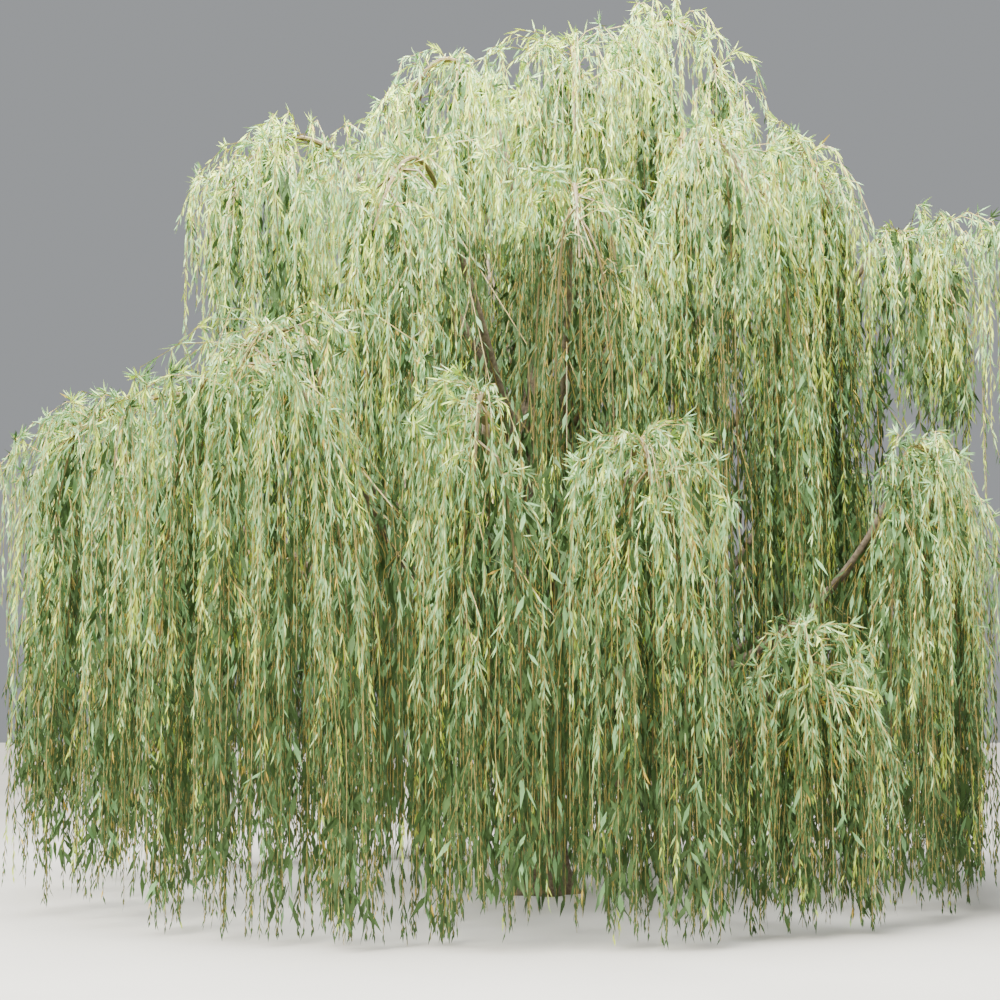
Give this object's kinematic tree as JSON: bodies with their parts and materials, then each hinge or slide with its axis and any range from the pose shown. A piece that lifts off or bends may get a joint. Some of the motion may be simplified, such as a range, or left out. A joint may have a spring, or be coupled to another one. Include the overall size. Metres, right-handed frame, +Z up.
{
  "type": "weeping willow tree",
  "caption": "Weeping willow tree in full leaf, with a short trunk, arching boughs and tiers of hanging foliage down to the ground.",
  "frame": {"origin": "centre of the trunk's flat cut at ground level", "axes": "+Z up the trunk, -Y towards the side seen in the picture, +X to that side's right"},
  "size_m": [8.3048, 8.3436, 7.6933],
  "materials": {
    "bark": "grey-brown furrowed bark, paler on the boughs",
    "leaf": "matt grey-green leaves on golden shoots"
  },
  "bodies": {
    "root": {"back_limb": "bark", "bough_back_left_shoulder": "bark", "bough_back_left_skirt": "bark", "bough_back_right_skirt": "bark", "bough_back_shoulder": "bark", "bough_back_skirt": "bark", "bough_front_left_shoulder": "bark", "bough_front_left_skirt": "bark", "bough_front_right_curtain": "bark", "bough_front_right_skirt": "bark", "bough_front_shoulder": "bark", "bough_front_skirt": "bark", "bough_left_back_shoulder": "bark", "bough_left_back_skirt": "bark", "bough_left_front_skirt": "bark", "bough_left_shoulder": "bark", "bough_left_skirt": "bark", "bough_low_right_skirt": "bark", "bough_right_arch": "bark", "bough_right_back_shoulder": "bark", "bough_right_back_skirt": "bark", "bough_right_shoulder": "bark", "bough_right_skirt": "bark", "bough_top_back_left": "bark", "bough_top_front": "bark", "foliage_back_left_shoulder": "leaf", "foliage_back_left_skirt": "leaf", "foliage_back_right_skirt": "leaf", "foliage_back_shoulder": "leaf", "foliage_back_skirt": "leaf", "foliage_front_left_shoulder": "leaf", "foliage_front_left_skirt": "leaf", "foliage_front_right_curtain": "leaf", "foliage_front_right_skirt": "leaf", "foliage_front_shoulder": "leaf", "foliage_front_skirt": "leaf", "foliage_left_back_shoulder": "leaf", "foliage_left_back_skirt": "leaf", "foliage_left_front_skirt": "leaf", "foliage_left_shoulder": "leaf", "foliage_left_skirt": "leaf", "foliage_low_right_skirt": "leaf", "foliage_peak": "leaf", "foliage_right_arch": "leaf", "foliage_right_back_shoulder": "leaf", "foliage_right_back_skirt": "leaf", "foliage_right_shoulder": "leaf", "foliage_right_skirt": "leaf", "foliage_top_back_left": "leaf", "foliage_top_back_right": "leaf", "foliage_top_front": "leaf", "foliage_top_left": "leaf", "leader": "bark", "left_limb": "bark", "trunk": "bark"}
  },
  "joints": []
}
